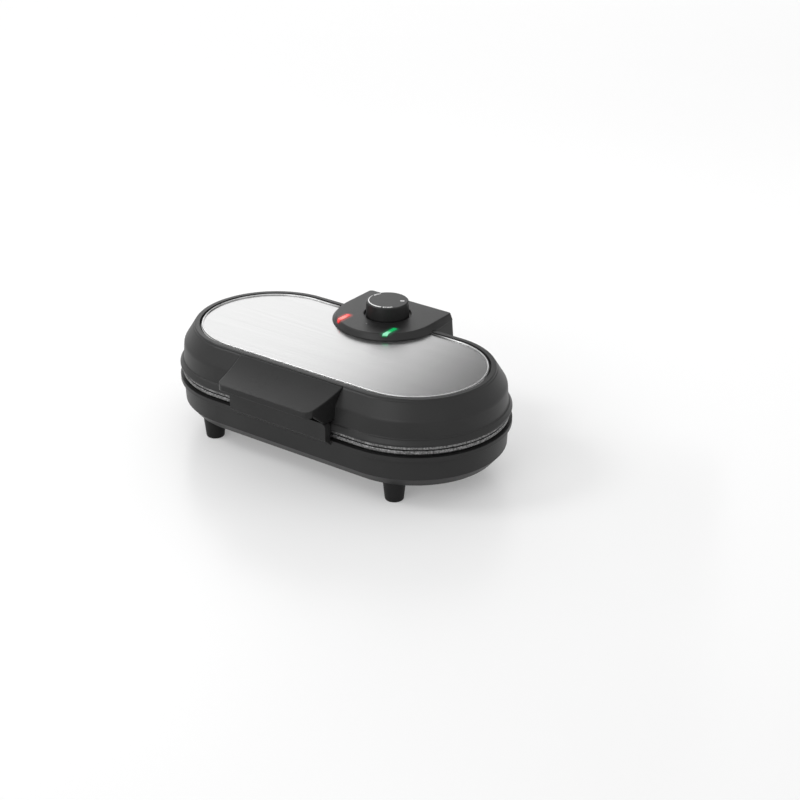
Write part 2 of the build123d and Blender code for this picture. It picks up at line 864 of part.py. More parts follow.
# Indicator lenses: bars that fold over the front edge of the housing, each with a lamp socket
for colour, place in (("red", -lens_x), ("green", lens_x)):
    with BuildPart() as lens:
        add(housing_body(-lens_proud, housing_top + lens_proud, housing_edge))
        add(housing_body(lens_thickness, housing_top - lens_thickness), mode=Mode.SUBTRACT)
        with BuildSketch(level(housing_top - lens_wrap + fit_gap)):
            with Locations((place, 0)):
                Rectangle(lens_width, 2 * lens_inner_y)
        extrude(amount=lens_wrap + lens_proud, mode=Mode.INTERSECT)
        socket_top = housing_top - housing_wall - fit_gap
        with BuildSketch(level(socket_top)):
            with Locations((place, lens_socket_y)):
                Circle(lens_socket_radius)
        extrude(amount=-lens_socket_depth)
        with BuildSketch(level(housing_top - housing_wall - lens_neck)):
            with Locations((place, lens_socket_y)):
                Circle(lens_width / 2)
        extrude(amount=2 * lens_neck)
        with BuildSketch(level(socket_top - lens_socket_depth)):
            with Locations((place, lens_socket_y)):
                Circle(lamp_radius + fit_gap)
        extrude(amount=lamp_length, mode=Mode.SUBTRACT)
    finish(lens, f"{colour}_lens")

    lamp_seat = socket_top - lens_socket_depth
    lamp_plane = Plane((place, body_y + lens_socket_y, lamp_seat), x_dir=(1, 0, 0), z_dir=(0, -1, 0))
    with BuildPart() as lamp:
        with BuildSketch(lamp_plane):
            with BuildLine():
                Polyline(
                    (0, -lamp_collar),
                    (lens_socket_radius, -lamp_collar),
                    (lens_socket_radius, 0),
                    (lamp_radius, 0),
                    (lamp_radius, lamp_length - fit_gap - lamp_radius),
                )
                RadiusArc(
                    (lamp_radius, lamp_length - fit_gap - lamp_radius),
                    (0, lamp_length - fit_gap),
                    -lamp_radius,
                )
                Line((0, lamp_length - fit_gap), (0, -lamp_collar))
            make_face()
        revolve(axis=Axis((place, body_y + lens_socket_y, 0), (0, 0, 1)))
    finish(lamp, f"{colour}_lamp")

# Knob: a hollow turned cap with a hub that takes the flatted spindle
knob_top = knob_base + knob_height
knob_axis = Axis((0, body_y + knob_y, 0), (0, 0, 1))
knob_plane = Plane((0, body_y + knob_y, 0), x_dir=(1, 0, 0), z_dir=(0, -1, 0))
spindle_top = knob_top - knob_wall - spindle_roof


def flatted(radius):
    """Round section with one flat, in the current sketch."""
    with BuildSketch() as section:
        Circle(radius)
        with Locations((0, spindle_radius - spindle_flat - 2 * radius)):
            Rectangle(2 * radius + overlap, 2 * radius, mode=Mode.SUBTRACT)
    return section.sketch


with BuildPart() as knob:
    with BuildSketch(knob_plane):
        with BuildLine():
            Polyline(
                (0, knob_top),
                (knob_top_radius - knob_edge, knob_top),
                (knob_top_radius, knob_top - knob_edge),
                (knob_low_radius, knob_base),
                (knob_low_radius - knob_wall, knob_base),
                (knob_top_radius - knob_wall, knob_top - knob_wall),
                (hub_radius, knob_top - knob_wall),
                (hub_radius, knob_base),
                (0, knob_base),
                close=True,
            )
        make_face()
    revolve(axis=knob_axis)
    with BuildSketch(Plane((0, body_y + knob_y, knob_base))):
        add(flatted(spindle_radius + running_gap))
    extrude(amount=spindle_top + spindle_end_gap - knob_base, mode=Mode.SUBTRACT)
finish(knob, "knob")

# Thermostat on its bracket, with the spindle that the knob turns
thermostat_low = upper_plate_face + plate_edge + thermostat_lift
thermostat_top = thermostat_low + thermostat_height
with BuildPart() as thermostat:
    with BuildSketch(level(thermostat_low)):
        with Locations((0, knob_y)):
            Rectangle(thermostat_size, thermostat_depth)
    extrude(amount=thermostat_height)
    chamfer(thermostat.edges().filter_by(Axis.Z), thermostat_corner)
    with BuildSketch(level(thermostat_top)):
        with Locations((0, knob_y)):
            Circle(thermostat_bush_radius)
    extrude(amount=thermostat_bush_height)
    with BuildSketch(level(thermostat_top + thermostat_bush_height)):
        with Locations((0, knob_y)):
            Circle(spindle_radius + running_gap)
    extrude(amount=-thermostat_bush_height - thermostat_height / 2, mode=Mode.SUBTRACT)
finish(thermostat, "thermostat")

with BuildPart() as spindle:
    with BuildSketch(Plane((0, body_y + knob_y, thermostat_top - thermostat_height / 2 + fit_gap))):
        Circle(spindle_radius)
    extrude(amount=knob_base - thermostat_top + thermostat_height / 2 - spindle_round_stop)
    with BuildSketch(Plane((0, body_y + knob_y, knob_base - spindle_flat_lead))):
        add(flatted(spindle_radius))
    extrude(amount=spindle_top - knob_base + spindle_flat_lead)
finish(spindle, "thermostat_spindle")

with BuildPart() as bracket:
    with BuildSketch(facing_back(knob_y - thermostat_depth / 2 + bracket_setback)):
        with BuildLine() as hat:
            half = thermostat_size / 2
            low = upper_plate_face + plate_edge + bracket_sheet / 2
            high = thermostat_low - bracket_sheet / 2
            Polyline(
                (-half - bracket_foot, low),
                (-half, low),
                (-half, high),
                (half, high),
                (half, low),
                (half + bracket_foot, low),
            )
            offset(amount=bracket_sheet / 2, side=Side.BOTH)
        make_face()
    extrude(amount=bracket_depth)
finish(bracket, "thermostat_bracket")

# Thermal fuse held on the upper plate between the cups
fuse_z = upper_plate_face + plate_edge + fuse_radius + fit_gap / 2
with BuildPart() as fuse:
    with BuildSketch(facing_back(-fuse_length / 2)):
        with Locations((0, fuse_z)):
            Circle(fuse_radius)
    extrude(amount=fuse_length)
finish(fuse, "thermal_fuse")


def plate_screw_set(seat, direction):
    """Pan-head screws through the posts: seat is the height of the head's face."""
    with BuildPart() as screws:
        with BuildSketch(level(seat)):
            with Locations(*plate_posts):
                Circle(screw_head_radius)
        extrude(amount=-direction * screw_head_height)
        with BuildSketch(level(seat)):
            with Locations(*plate_posts):
                Circle(screw_radius)
        extrude(amount=direction * (post_seat + shield_sheet + screw_bite))
    return screws


finish(plate_screw_set(post_end - post_seat, 1), "lower_plate_screws")
finish(plate_screw_set(lid_post_end + post_seat, -1), "upper_plate_screws")


def screw_pair(places, plane, grip, bite):
    """Pan-head screws: plane lies on the seat and faces along the screws."""
    with BuildPart() as screws:
        with BuildSketch(plane):
            with Locations(*places):
                Circle(screw_head_radius)
        extrude(amount=-screw_head_height)
        with BuildSketch(plane):
            with Locations(*places):
                Circle(screw_radius)
        extrude(amount=grip + bite)
    return screws


foot_places = list(feet.values())
foot_seat = level(foot_height - foot_web)
finish(screw_pair(foot_places, foot_seat, foot_web, shell_wall + screw_bite), "foot_screws")
housing_bite = housing_height - housing_wall - overlap
finish(screw_pair(housing_screws, level(deck_under), shell_wall, housing_bite), "housing_screws")
tail_places = [(-tail_screw_x, tail_screw_z), (tail_screw_x, tail_screw_z)]
tail_seat = facing_back(lid_wall_radius - shell_wall - wall_lean)
finish(screw_pair(tail_places, tail_seat, shell_wall + wall_lean, screw_bite), "tail_screws")
handle_places = [(-handle_screw_x, handle_screw_z), (handle_screw_x, handle_screw_z)]
handle_seat_y = body_y - lid_wall_radius + shell_wall + wall_lean
handle_seat = Plane((0, handle_seat_y, 0), x_dir=(1, 0, 0), z_dir=(0, -1, 0))
handle_bite = handle_boss_length + 2 * overlap
finish(screw_pair(handle_places, handle_seat, shell_wall + wall_lean, handle_bite), "handle_screws")

# Hinge pin through both cheeks and the base's barrel
with BuildPart() as hinge_pin:
    with BuildSketch(upright()):
        with Locations((hinge_y, seam_z)):
            Circle(hinge_pin_radius)
    extrude(amount=tail_half_width + pin_reach, both=True)
finish(hinge_pin, "hinge_pin")

# Cord inlet bush in the rear wall, and the terminal block behind it
inlet_face = base_top_radius + inlet_flange
with BuildPart() as inlet_bush:
    with BuildSketch(Plane((inlet_x, body_y, cord_z), x_dir=(0, 1, 0), z_dir=(1, 0, 0))):
        with BuildLine():
            Polyline(
                (inlet_face - inlet_length, inlet_bore),
                (inlet_face, inlet_bore),
                (inlet_face, inlet_flange_radius),
                (inlet_face - inlet_flange, inlet_flange_radius),
                (inlet_face - inlet_flange, inlet_neck_radius - fit_gap),
                (inlet_face - inlet_length, inlet_neck_radius - fit_gap),
                close=True,
            )
        make_face()
    revolve(axis=Axis((inlet_x, 0, cord_z), (0, 1, 0)))
finish(inlet_bush, "cord_inlet_bush")

with BuildPart() as terminal_block:
    terminal_y = base_floor_radius - terminal_depth - shell_wall
    with BuildSketch(level(foot_height + shell_wall)):
        with Locations((inlet_x, terminal_y)):
            Rectangle(terminal_length, terminal_depth)
    extrude(amount=terminal_height)
    with BuildSketch(level(foot_height + shell_wall + terminal_height)):
        with Locations((inlet_x, terminal_y)):
            with GridLocations(terminal_pitch, terminal_depth / 2, 3, 2):
                Circle(terminal_hole)
    extrude(amount=-terminal_height / 2, mode=Mode.SUBTRACT)
finish(terminal_block, "terminal_block")
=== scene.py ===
"""Finish, panel bead, dial marks and stage for a twin-cup pancake maker.

Metres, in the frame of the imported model: +X runs along the machine, -Y is its front.
"""

from math import atan2, cos, pi, radians, sin

import bmesh
import bpy
from mathutils import Matrix, Vector


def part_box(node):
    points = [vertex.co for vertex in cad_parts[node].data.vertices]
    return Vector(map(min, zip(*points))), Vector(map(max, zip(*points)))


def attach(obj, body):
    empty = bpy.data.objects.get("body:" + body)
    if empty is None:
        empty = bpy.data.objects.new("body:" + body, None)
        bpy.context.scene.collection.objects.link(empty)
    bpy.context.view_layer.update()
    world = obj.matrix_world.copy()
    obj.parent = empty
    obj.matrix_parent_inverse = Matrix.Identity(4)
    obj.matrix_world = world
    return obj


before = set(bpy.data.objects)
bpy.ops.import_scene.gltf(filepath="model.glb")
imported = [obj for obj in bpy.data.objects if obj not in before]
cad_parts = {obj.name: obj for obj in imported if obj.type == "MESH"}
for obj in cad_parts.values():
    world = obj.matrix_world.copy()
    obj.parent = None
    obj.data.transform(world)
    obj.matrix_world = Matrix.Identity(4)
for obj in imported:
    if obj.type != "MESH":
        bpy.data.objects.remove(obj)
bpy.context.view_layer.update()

bl_info = {
    "name": "Pancake Maker",
    "version": (1, 0, 0),
    "blender": (4, 5, 0),
    "location": "View3D > Sidebar > Pancake Maker",
    "description": "Dresses a twin-cup pancake maker and sets its stage",
    "category": "Object",
}

MM = 0.001

KNOB_LOW, KNOB_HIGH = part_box("knob")
KNOB_AXIS = (KNOB_LOW + KNOB_HIGH) / 2
KNOB_TOP = KNOB_HIGH.z
HOUSING_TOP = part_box("control_housing")[1].z
MERGE = 0.001 * MM

# Facets of the made pieces: round the bead, round a dot, and along each turned sweep
BEAD_SIDES = 12
DOT_SIDES = 24
SWEEP_STEPS = 48

# Lit lenses: their colour, the paler colour over the lamp, and what they cast on the housing
RED = (0.8, 0.02, 0.02, 1.0)
RED_CORE = (1.0, 0.24, 0.2, 1.0)
RED_SPILL = (0.4, 0.04, 0.03, 1.0)
GREEN = (0.0, 0.32, 0.08, 1.0)
GREEN_CORE = (0.3, 0.72, 0.5, 1.0)
GREEN_SPILL = (0.0, 0.1, 0.04, 1.0)
SPILL_REACH = 8.0 * MM
LENS_DEPTH = 1.6 * MM

# Glow of a lens, in half-lengths of it: where it begins to fade, where it is gone,
# and how far in front of the green lens's middle its lamp shows
GLOW_FADES = 0.15
GLOW_ENDS = 0.8
GREEN_FORWARD = 0.6

# Share of the other mouldings' roughness that the handle has
HANDLE_ROUGH = 0.7

# Bare cast edge round the cooking plates: where it begins and is full, inside the plate's edge
CAST_BEGINS = 1.6 * MM
CAST_FULL = 0.6 * MM

# Where the marks stand on the knob, as angles from +X
LOW_DOT_TURN = radians(171)
LOW_WORD_TURN = radians(152)
LOW_PITCH = radians(6.5)
HIGH_DOT_TURN = radians(295)
HIGH_WORD_TURN = radians(303)
HIGH_PITCH = radians(7.5)
NOUGHT_TURN = radians(29)
NOUGHT_RADIUS = 15.2 * MM
LETTER_WEIGHT = 0.045

# Index dot on the housing, and the pointer to the left of it
INDEX_X = 1.0 * MM
INDEX_DOT = 0.8 * MM
POINTER_STEP = 2.4 * MM
POINTER_SIZE = 0.9 * MM

# Stage: soft lamps by place, aim, size and power, then the white mixed into the floor,
# the world's strength as plain light, and the card that shows in reflections
LAMPS = {
    "key_softbox": ((-1.35, -1.1, 1.85), (0.0, 0.0, 0.05), (0.8, 0.6), 13.0),
    "back_softbox": ((-1.9, 2.6, 1.7), (-0.1, 0.0, 0.08), (3.0, 1.6), 24.0),
    "front_softbox": ((0.1, -3.0, 1.4), (0.0, 0.0, 0.06), (2.0, 1.0), 22.0),
}
FLOOR_WHITE = 0.25
WORLD_LIGHT = 0.7
CARD_SIZE = (1.0, 0.7, 1.0)
CARD_PLACE = (-0.3, 0.45, 0.5)
CARD_PALE = 1.57
CARD_LEAN = 1.04
CARD_FADE = (0.03, 0.25)


# Shader maths

class Field:
    """A value that varies over a surface, with arithmetic that adds Math nodes."""

    def __init__(self, surface, socket):
        self.surface = surface
        self.socket = socket

    def maths(self, operation, first, second=0.0):
        """A Math node on one value or two."""
        sockets = {0: first, 1: second}
        made = self.surface.node("ShaderNodeMath", {"operation": operation}, sockets)
        return Field(self.surface, made.outputs[0])

    def __add__(self, other):
        return self.maths("ADD", self, other)

    def __radd__(self, other):
        return self.maths("ADD", other, self)

    def __sub__(self, other):
        return self.maths("SUBTRACT", self, other)

    def __rsub__(self, other):
        return self.maths("SUBTRACT", other, self)

    def __mul__(self, other):
        return self.maths("MULTIPLY", self, other)

    def __rmul__(self, other):
        return self.maths("MULTIPLY", other, self)

    def beyond(self, half):
        """How far the value lies outside a span from -half to half."""
        over = self.maths("ABSOLUTE", self) - half
        return over.maths("MAXIMUM", over, 0.0)

    def clamped(self):
        """The value held between nought and one."""
        return self.maths("MINIMUM", self.maths("MAXIMUM", self, 0.0), 1.0)

    def smooth(self, low, high):
        """Nought below low, one above high, and a soft step between them."""
        settings = {"interpolation_type": "SMOOTHSTEP"}
        sockets = {"Value": self, "From Min": low, "From Max": high}
        made = self.surface.node("ShaderNodeMapRange", settings, sockets)
        return Field(self.surface, made.outputs["Result"])


class Graph:
    """A node tree under construction."""

    def __init__(self, owner):
        owner.use_nodes = True
        self.tree = owner.node_tree
        self.tree.nodes.clear()

    def node(self, kind, settings=None, sockets=None):
        """A node of a kind, with its settings made first and its sockets fed after them."""
        made = self.tree.nodes.new(kind)
        for key, value in (settings or {}).items():
            setattr(made, key, value)
        for key, value in (sockets or {}).items():
            self.feed(made.inputs[key], value)
        return made

    def feed(self, socket, value):
        """Links a varying value to a socket, or sets a constant on it."""
        if isinstance(value, Field):
            self.tree.links.new(value.socket, socket)
        else:
            socket.default_value = value

    def seen(self):
        """One for the camera, reflections and views through glass, nought for plain light."""
        paths = self.node("ShaderNodeLightPath").outputs
        looks = Field(self, paths["Is Camera Ray"])
        for ray in ("Is Glossy Ray", "Is Transmission Ray"):
            looks = looks.maths("MAXIMUM", looks, Field(self, paths[ray]))
        return looks


class Surface(Graph):
    """A material under construction: its nodes and the shader that they feed."""

    def __init__(self, name):
        self.material = bpy.data.materials.new(name)
        super().__init__(self.material)
        self.shader = self.node("ShaderNodeBsdfPrincipled")
        shaded = Field(self, self.shader.outputs[0])
        self.output = self.node("ShaderNodeOutputMaterial", None, {"Surface": shaded})
        self.place = Field(self, self.node("ShaderNodeTexCoord").outputs["Object"])

    def set(self, **sockets):
        """Feeds the shader's sockets, with underscores for the spaces in their names."""
        for key, value in sockets.items():
            self.feed(self.shader.inputs[key.replace("_", " ")], value)

    def stretched(self, scale):
        """Object coordinates stretched by a scale on each axis."""
        made = self.node("ShaderNodeMapping", None, {"Vector": self.place, "Scale": scale})
        return Field(self, made.outputs[0])

    def noise(self, scale, detail=2.0, roughness=0.5, place=None):
        """Fractal noise from nought to one."""
        sockets = {
            "Vector": place or self.place,
            "Scale": scale,
            "Detail": detail,
            "Roughness": roughness,
        }
        return Field(self, self.node("ShaderNodeTexNoise", None, sockets).outputs["Fac"])

    def mix(self, factor, first, second):
        """A colour between two others."""
        sockets = {0: factor, 6: first, 7: second}
        made = self.node("ShaderNodeMix", {"data_type": "RGBA"}, sockets)
        return Field(self, made.outputs[2])

    def offset(self, point):
        """The way from a point, as three values."""
        sockets = {0: self.place, 1: point}
        apart = self.node("ShaderNodeVectorMath", {"operation": "SUBTRACT"}, sockets)
        parts = self.node("ShaderNodeSeparateXYZ", None, {0: Field(self, apart.outputs[0])})
        return [Field(self, part) for part in parts.outputs]

    def away_from(self, point):
        """Distance from a point."""
        sockets = {0: self.place, 1: point}
        made = self.node("ShaderNodeVectorMath", {"operation": "DISTANCE"}, sockets)
        return Field(self, made.outputs["Value"])

    def oval(self, low, high):
        """Squared distance from the middle line of an oval piece, and the radius of its ends."""
        middle = (low + high) / 2
        reach = high.y - middle.y
        across, along, _ = self.offset(middle)
        past = across.beyond(high.x - middle.x - reach)
        return past * past + along * along, reach

    def whiten(self, share):
        """Mixes a share of plain white into what the camera and reflections see of the surface."""
        white = self.node("ShaderNodeEmission", None, {"Color": grey(1.0), "Strength": 1.0})
        sockets = {
            0: self.seen() * share,
            1: Field(self, self.shader.outputs[0]),
            2: Field(self, white.outputs[0]),
        }
        mixed = self.node("ShaderNodeMixShader", None, sockets)
        self.feed(self.output.inputs["Surface"], Field(self, mixed.outputs[0]))

    def rounded(self, radius):
        """A normal that turns softly over the edges, as on a moulding with a small radius."""
        made = self.node("ShaderNodeBevel", {"samples": 6}, {"Radius": radius})
        return Field(self, made.outputs["Normal"])

    def bump(self, height, strength, distance, over=None):
        """A normal that follows a height, over another normal if one is given."""
        sockets = {"Height": height, "Strength": strength, "Distance": distance}
        if over:
            sockets["Normal"] = over
        return Field(self, self.node("ShaderNodeBump", None, sockets).outputs["Normal"])


def grey(level, warmth=0.0):
    """A near-grey colour."""
    return (level * (1 + warmth), level, level * (1 - warmth), 1.0)


def moulded(name, level, roughness, sheen, grain, edge):
    """Black moulded plastic with a fine spark-eroded grain, faint flow marks and soft edges."""
    surface = Surface(name)
    fine = surface.noise(grain, 3.0, 0.6)
    broad = surface.noise(22.0, 2.0)
    tone = (fine * 0.5 + broad * 0.5).smooth(0.25, 0.75)
    surface.set(
        Base_Color=surface.mix(tone, grey(level * 0.8), grey(level * 1.2)),
        Roughness=fine * 0.10 + broad * 0.06 + (roughness - 0.08),
        Normal=surface.bump(fine, 0.32, 0.00012, surface.rounded(edge)),
        Specular_IOR_Level=sheen,
    )
    return surface


def line_under_rim(surface, settings):
    """A fine pressed line in the lid, just outside the rim that holds the steel panel."""
    spread, reach = surface.oval(*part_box("steel_panel"))
    radius = reach + settings.line_offset
    half = settings.line_width / 2
    inner = spread.smooth((radius - half) ** 2, radius ** 2)
    outer = spread.smooth(radius ** 2, (radius + half) ** 2)
    floor = 1 - inner * (1 - outer)
    pressed = surface.bump(floor, 1.0, settings.line_depth, surface.rounded(settings.shell_edge))
    surface.set(Normal=pressed)


def brushed_steel(level, edge):
    """Sheet steel brushed along the machine, with long fine scratches."""
    surface = Surface("brushed_steel")
    lines = surface.noise(1.0, 3.0, 0.65, surface.stretched((9.0, 2600.0, 9.0)))
    bands = surface.noise(1.0, 2.0, 0.5, surface.stretched((6.0, 900.0, 6.0)))
    streak = lines * 0.5 + bands * 0.5
    surface.set(
        Base_Color=surface.mix(streak.smooth(0.3, 0.7), grey(level * 0.95), grey(level * 1.05)),
        Metallic=1.0,
        Roughness=streak * 0.08 + 0.2,
        Normal=surface.bump(lines, 0.06, 0.00004, surface.rounded(edge)),
    )
    return surface.material


def cast_nonstick(name, low, high):
    """Dark non-stick coating with fine bright specks, and a bare cast edge round the plate."""
    surface = Surface(name)
    fine = surface.noise(1900.0, 3.0, 0.7)
    broad = surface.noise(60.0, 2.0)
    speck = surface.noise(900.0, 1.0).smooth(0.66, 0.74)
    spread, reach = surface.oval(low, high)
    edge = spread.smooth((reach - CAST_BEGINS) ** 2, (reach - CAST_FULL) ** 2)
    coat = surface.mix((fine * 0.6 + speck * 0.5).clamped(), grey(0.055), grey(0.24))
    cast = surface.noise(520.0, 3.0, 0.7).smooth(0.3, 0.75)
    surface.set(
        Base_Color=surface.mix(edge, coat, surface.mix(cast, grey(0.05), grey(0.36))),
        Metallic=edge * 0.2 + 0.55,
        Roughness=fine * 0.16 + broad * 0.08 + 0.3,
        Normal=surface.bump(fine, 0.35, 0.00012),
    )
    return surface.material


def plain_metal(name, level, roughness, warmth=0.0):
    """Drawn or rolled metal with faint handling marks."""
    surface = Surface(name)
    fine = surface.noise(1400.0, 3.0, 0.6)
    broad = surface.noise(90.0, 3.0, 0.6)
    dull, bright = grey(level * 0.85, warmth), grey(level * 1.05, warmth)
    surface.set(
        Base_Color=surface.mix(broad.smooth(0.3, 0.7), dull, bright),
        Metallic=1.0,
        Roughness=broad * 0.2 + fine * 0.1 + roughness - 0.15,
        Normal=surface.bump(fine, 0.15, 0.00005),
    )
    return surface.material


def rubbery(name, level):
    """Matt black rubber."""
    surface = Surface(name)
    fine = surface.noise(1500.0, 3.0, 0.7)
    surface.set(
        Base_Color=surface.mix(fine, grey(level * 0.8), grey(level * 1.2)),
        Roughness=fine * 0.15 + 0.42,
        Specular_IOR_Level=0.15,
        Normal=surface.bump(fine, 0.25, 0.0001),
    )
    return surface.material


def lit_lens(name, colour, core, lamp, reach):
    """A tinted bar lens lit from below: brightest and palest over its lamp."""
    surface = Surface(name)
    fine = surface.noise(600.0, 2.0)
    glow = 1 - surface.away_from(lamp).smooth(GLOW_FADES * reach, GLOW_ENDS * reach)
    height = surface.offset(lamp)[2]
    lit = surface.mix(glow, colour, core)
    dark = grey(0.004)
    surface.set(
        Base_Color=surface.mix(fine, dark, colour),
        Roughness=fine * 0.1 + 0.2,
        Specular_IOR_Level=0.3,
        Emission_Color=surface.mix(height.smooth(-1.6 * LENS_DEPTH, -0.8 * LENS_DEPTH), dark, lit),
        Emission_Strength=1.0,
    )
    return surface.material


def spill(surface, lamps):
    """Light that the lit lenses cast on the plastic round them."""
    shine = grey(0.0)
    for colour, middle, half in lamps:
        across, along, height = surface.offset(middle)
        beyond = along.beyond(half - 2 * LENS_DEPTH)
        near = 1 - (across * across + beyond * beyond).smooth(0.0, SPILL_REACH ** 2)
        near = near * near * near * height.smooth(-2 * LENS_DEPTH, 0.0)
        shine = surface.mix(near, shine, colour)
    surface.set(Emission_Color=shine, Emission_Strength=1.0)


def lamp_glass():
    """Small clear lamp glass."""
    surface = Surface("lamp_glass")
    fine = surface.noise(500.0, 2.0)
    surface.set(
        Base_Color=surface.mix(fine, (0.85, 0.8, 0.72, 1.0), (0.95, 0.92, 0.86, 1.0)),
        Roughness=fine * 0.05 + 0.04,
        Transmission_Weight=0.8,
    )
    return surface.material


def glazed(name, level, warmth):
    """Pale ceramic or cream moulding with a slight mottle."""
    surface = Surface(name)
    fine = surface.noise(800.0, 3.0, 0.6)
    broad = surface.noise(80.0, 2.0)
    surface.set(
        Base_Color=surface.mix(broad, grey(level * 0.9, warmth), grey(level * 1.05, warmth)),
        Roughness=fine * 0.2 + 0.35,
        Normal=surface.bump(fine, 0.2, 0.0001),
    )
    return surface.material


def dial_ink(name, level):
    """Pad-printed ink."""
    surface = Surface(name)
    fine = surface.noise(1800.0, 2.0)
    surface.set(
        Base_Color=surface.mix(fine, grey(level * 0.93), grey(level * 1.05)),
        Roughness=fine * 0.1 + 0.45,
    )
    return surface.material


def bar(node):
    """The middle of a bar lens on the housing's face, and half its length."""
    low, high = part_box(node)
    return Vector(((low.x + high.x) / 2, (low.y + high.y) / 2, high.z)), (high.y - low.y) / 2


def wear(piece, material):
    """Gives a piece one material."""
    piece.data.materials.clear()
    piece.data.materials.append(material)
    for polygon in piece.data.polygons:
        polygon.material_index = 0


# Settings

class MouldingSettings(bpy.types.PropertyGroup):
    """Tone, sheen, edges and grain of the black mouldings."""

    shell_tone: bpy.props.FloatProperty(
        name="Shell tone",
        description="Reflectance of the lid and base mouldings",
        default=0.017,
        min=0.0,
        max=1.0,
    )
    trim_tone: bpy.props.FloatProperty(
        name="Trim tone",
        description="Reflectance of the handle, the control housing and the knob",
        default=0.01,
        min=0.0,
        max=1.0,
    )
    roughness: bpy.props.FloatProperty(
        name="Roughness",
        description="How matt the mouldings are",
        default=0.42,
        min=0.0,
        max=1.0,
        subtype="FACTOR",
    )
    shell_sheen: bpy.props.FloatProperty(
        name="Shell sheen",
        description="How strongly the lid, the base and the handle reflect",
        default=0.28,
        min=0.0,
        max=1.0,
        subtype="FACTOR",
    )
    trim_sheen: bpy.props.FloatProperty(
        name="Trim sheen",
        description="How strongly the control housing and the knob reflect",
        default=0.34,
        min=0.0,
        max=1.0,
        subtype="FACTOR",
    )
    shell_edge: bpy.props.FloatProperty(
        name="Shell edge",
        description="Radius that the edges of the lid, base and knob show",
        default=0.5 * MM,
        unit="LENGTH",
    )
    trim_edge: bpy.props.FloatProperty(
        name="Trim edge",
        description="Radius that the edges of the handle and the housing show",
        default=1.8 * MM,
        unit="LENGTH",
    )
    line_offset: bpy.props.FloatProperty(
        name="Line offset",
        description="How far the pressed line under the lid's rim lies outside the steel panel",
        default=7.0 * MM,
        unit="LENGTH",
    )
    line_width: bpy.props.FloatProperty(
        name="Line width",
        description="Width of the pressed line under the lid's rim",
        default=1.6 * MM,
        unit="LENGTH",
    )
    line_depth: bpy.props.FloatProperty(
        name="Line depth",
        description="Depth of the pressed line under the lid's rim",
        default=0.35 * MM,
        unit="LENGTH",
    )
    grain: bpy.props.FloatProperty(
        name="Grain",
        description="Fineness of the moulded grain, in grains to the metre",
        default=2600.0,
        min=1.0,
    )


class PanelSettings(bpy.types.PropertyGroup):
    """Tone of the steel panel and size of its bead."""

    steel_tone: bpy.props.FloatProperty(
        name="Steel tone",
        description="Reflectance of the brushed steel",
        default=0.5,
        min=0.0,
        max=1.0,
    )
    rolled_edge: bpy.props.FloatProperty(
        name="Rolled edge",
        description="Radius that the panel's edge shows",
        default=0.8 * MM,
        unit="LENGTH",
    )
    bead_radius: bpy.props.FloatProperty(
        name="Bead radius",
        description="Half the thickness of the bead that runs round the panel",
        default=0.8 * MM,
        unit="LENGTH",
    )
    bead_inset: bpy.props.FloatProperty(
        name="Bead inset",
        description="How far the bead's middle lies inside the panel's edge",
        default=1.7 * MM,
        unit="LENGTH",
    )
    bead_rise: bpy.props.FloatProperty(
        name="Bead rise",
        description="How far the bead's middle lies above the panel's face",
        default=0.48 * MM,
        unit="LENGTH",
    )
    bead_gap: bpy.props.FloatProperty(
        name="Bead gap",
        description="Gap between the bead's ends and the control housing",
        default=0.6 * MM,
        unit="LENGTH",
    )


class DialSettings(bpy.types.PropertyGroup):
    """Sizes of the marks printed on the knob and the housing."""

    arc_radius: bpy.props.FloatProperty(
        name="Arc radius",
        description="Outer radius of the arc on the knob",
        default=19.4 * MM,
        unit="LENGTH",
    )
    arc_start: bpy.props.FloatProperty(
        name="Arc start",
        description="Angle of the arc's narrow end, at the low setting",
        default=radians(178),
        subtype="ANGLE",
    )
    arc_end: bpy.props.FloatProperty(
        name="Arc end",
        description="Angle of the arc's wide end, at the high setting",
        default=radians(286),
        subtype="ANGLE",
    )
    arc_narrow: bpy.props.FloatProperty(
        name="Narrow end",
        description="Width of the arc at the low setting",
        default=0.5 * MM,
        unit="LENGTH",
    )
    arc_wide: bpy.props.FloatProperty(
        name="Wide end",
        description="Width of the arc at the high setting",
        default=2.0 * MM,
        unit="LENGTH",
    )
    letter_radius: bpy.props.FloatProperty(
        name="Letter radius",
        description="Radius of the line on which the words stand",
        default=18.4 * MM,
        unit="LENGTH",
    )
    letter_size: bpy.props.FloatProperty(
        name="Letter size",
        description="Size of the letters",
        default=3.2 * MM,
        unit="LENGTH",
    )
    nought_size: bpy.props.FloatProperty(
        name="Nought size",
        description="Size of the figure at the off position",
        default=5.6 * MM,
        unit="LENGTH",
    )
    dot_radius: bpy.props.FloatProperty(
        name="Dot radius",
        description="Radius of the dots at both ends of the arc",
        default=0.95 * MM,
        unit="LENGTH",
    )
    ink: bpy.props.FloatProperty(
        name="Ink",
        description="How far the ink stands on the plastic",
        default=0.04 * MM,
        unit="LENGTH",
    )
    index_reach: bpy.props.FloatProperty(
        name="Index reach",
        description="How far in front of the knob's axis the housing's index dot lies",
        default=32.8 * MM,
        unit="LENGTH",
    )


